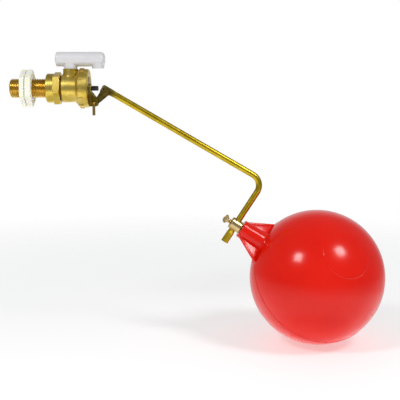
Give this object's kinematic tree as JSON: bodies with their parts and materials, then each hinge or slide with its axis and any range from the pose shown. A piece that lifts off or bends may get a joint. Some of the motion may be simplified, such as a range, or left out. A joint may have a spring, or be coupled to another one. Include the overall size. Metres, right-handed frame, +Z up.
{
  "type": "float valve",
  "caption": "Diaphragm float valve with backnuts on a threaded inlet, an overhead discharge tube, a bent drop arm with a sliding clamp, and a ball float.",
  "frame": {"origin": "on the inlet shank's axis, at the collar face that bears on the tank's wall", "axes": "+X from the supply end of the shank towards the lever and float, +Z up towards the discharge tube"},
  "size_m": [0.4176, 0.1524, 0.3283],
  "materials": {
    "brass": "satin",
    "cast_brass": "rough cast",
    "nut_plastic": "matte",
    "tube_plastic": "glossy",
    "float_plastic": "glossy",
    "plunger_plastic": "matte",
    "rubber": "matte"
  },
  "bodies": {
    "valve": {"inlet_shank": "brass", "inlet_washer": "rubber", "valve_body": "brass", "nozzle": "nut_plastic", "nozzle_o_ring": "rubber", "diaphragm": "rubber", "backplate": "cast_brass", "split_pin": "brass"},
    "outer_nut": {"outer_backnut": "nut_plastic"},
    "inner_nut": {"inner_backnut": "nut_plastic"},
    "clamping_nut": {"cap_nut": "brass"},
    "spout": {"discharge_tube": "tube_plastic", "outlet_o_ring": "rubber", "tube_end_plug": "tube_plastic"},
    "pusher": {"plunger": "plunger_plastic"},
    "arm": {"lever_head": "cast_brass", "arm_rod": "brass"},
    "clamp": {"arm_clamp": "brass"},
    "screw": {"thumb_screw": "brass"},
    "float": {"float_shell": "float_plastic", "float_neck": "float_plastic", "float_insert": "brass"}
  },
  "joints": [
    {"name": "lever_swing", "type": "hinge", "parent": "valve", "child": "arm", "pos_m": [0.0523, 0, -0.0152], "axis": [0, -1, 0], "range_deg": [0, 28]},
    {"name": "plunger_push", "type": "slide", "parent": "valve", "child": "pusher", "axis": [-1, 0, 0], "range_m": [0, 0.0049], "deforming": ["diaphragm"]},
    {"name": "clamp_slide", "type": "slide", "parent": "arm", "child": "clamp", "axis": [-0.5417, 0, -0.8406], "range_m": [-0.036, 0.001]},
    {"name": "thumbscrew_turn", "type": "hinge", "parent": "clamp", "child": "screw", "pos_m": [0.20871, 0, -0.15261], "axis": [-0.8406, 0, 0.5417], "continuous": true},
    {"name": "float_unscrew", "type": "slide", "parent": "clamp", "child": "float", "axis": [0.8406, 0, -0.5417], "range_m": [0, 0.025]},
    {"name": "outer_nut_slide", "type": "slide", "parent": "valve", "child": "outer_nut", "axis": [1, 0, 0], "range_m": [-0.012, 0]},
    {"name": "inner_nut_slide", "type": "slide", "parent": "valve", "child": "inner_nut", "axis": [1, 0, 0], "range_m": [0, 0.015]},
    {"name": "cap_nut_turn", "type": "hinge", "parent": "valve", "child": "clamping_nut", "pos_m": [0.0399, 0, 0], "axis": [1, 0, 0], "continuous": true},
    {"name": "spout_swivel", "type": "hinge", "parent": "valve", "child": "spout", "pos_m": [0.0264, 0, 0.022], "axis": [0, 0, 1], "continuous": true}
  ],
  "couplings": [
    {"joint": "plunger_push", "follows": "lever_swing", "m_per_rad": 0.010026}
  ]
}
